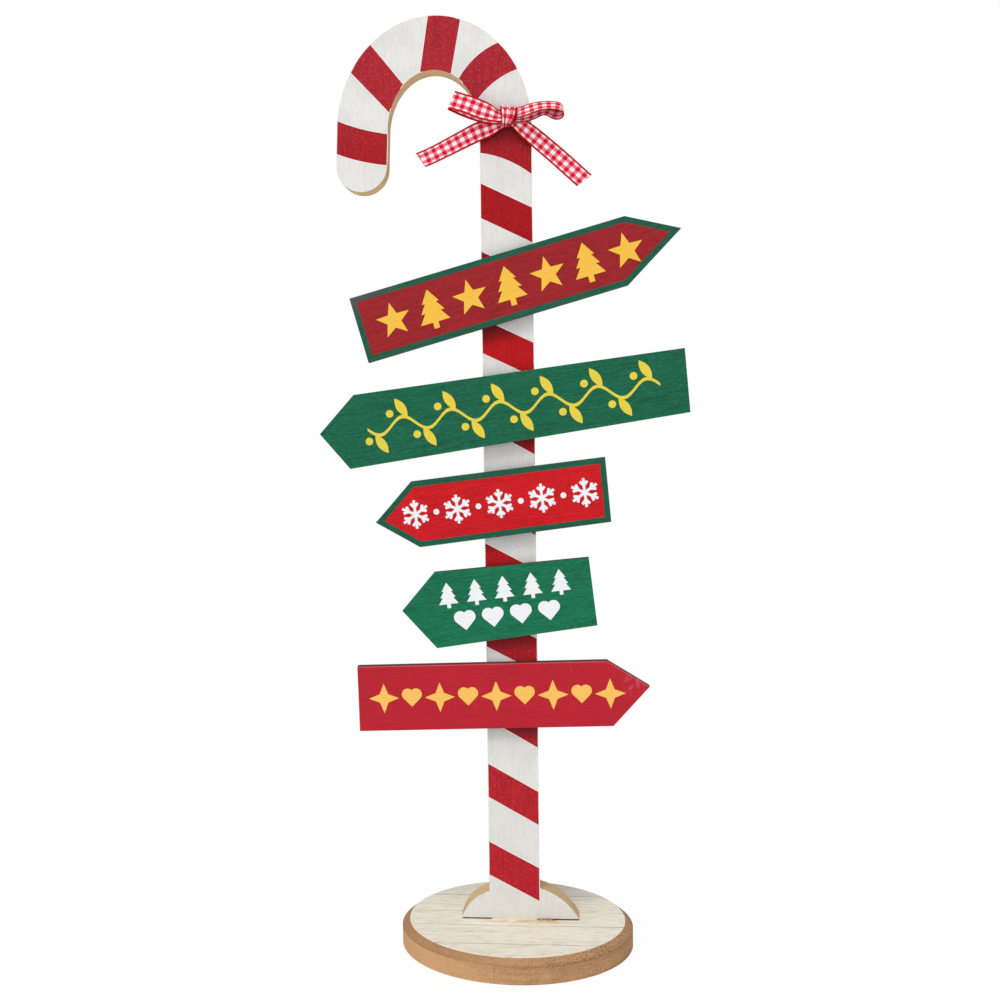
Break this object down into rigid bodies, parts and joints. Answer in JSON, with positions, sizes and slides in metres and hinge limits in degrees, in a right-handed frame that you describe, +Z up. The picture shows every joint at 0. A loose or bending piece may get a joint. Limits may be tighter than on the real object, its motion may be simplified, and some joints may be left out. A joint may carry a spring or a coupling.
{
  "type": "wooden christmas sign",
  "caption": "Free-standing candy-cane post on a round wooden base, with arrow boards pointing left and right across its front and a gingham ribbon bow under the hook.",
  "frame": {"origin": "centre of the round base's underside, which stands on the surface", "axes": "+Z up along the post, +X to the viewer's right along the boards, +Y away from the viewer, so the painted faces look along -Y"},
  "size_m": [0.2158, 0.138, 0.5485],
  "materials": {
    "raw_fibreboard": "matte, sawn",
    "whitewashed_wood": "matte, whitewashed grain",
    "white_paint": "matte, thin over grain",
    "red_paint": "matte, thin over grain",
    "plywood": "matte, dark cut edge",
    "green_paint": "matte, brushed along the board",
    "dark_red_paint": "matte, brushed along the board",
    "bright_red_paint": "matte, brushed along the board",
    "crimson_paint": "matte, brushed along the board",
    "yellow_print": "matte print",
    "pale_yellow_print": "matte print",
    "white_print": "matte print",
    "orange_print": "matte print",
    "gingham_ribbon": "woven red and white gingham, soft sheen"
  },
  "bodies": {
    "root": {"base_disc": "raw_fibreboard", "base_facing": "whitewashed_wood", "cane": "raw_fibreboard", "cane_white_paint": "white_paint", "cane_red_stripes": "red_paint", "top_board": "plywood", "top_board_border": "green_paint", "top_board_field": "dark_red_paint", "top_board_print": "yellow_print", "second_board": "plywood", "second_board_field": "green_paint", "second_board_print": "pale_yellow_print", "third_board": "plywood", "third_board_border": "green_paint", "third_board_field": "bright_red_paint", "third_board_print": "white_print", "fourth_board": "plywood", "fourth_board_field": "green_paint", "fourth_board_print": "white_print", "bottom_board": "plywood", "bottom_board_field": "crimson_paint", "bottom_board_print": "orange_print", "ribbon_bow": "gingham_ribbon"}
  },
  "joints": []
}
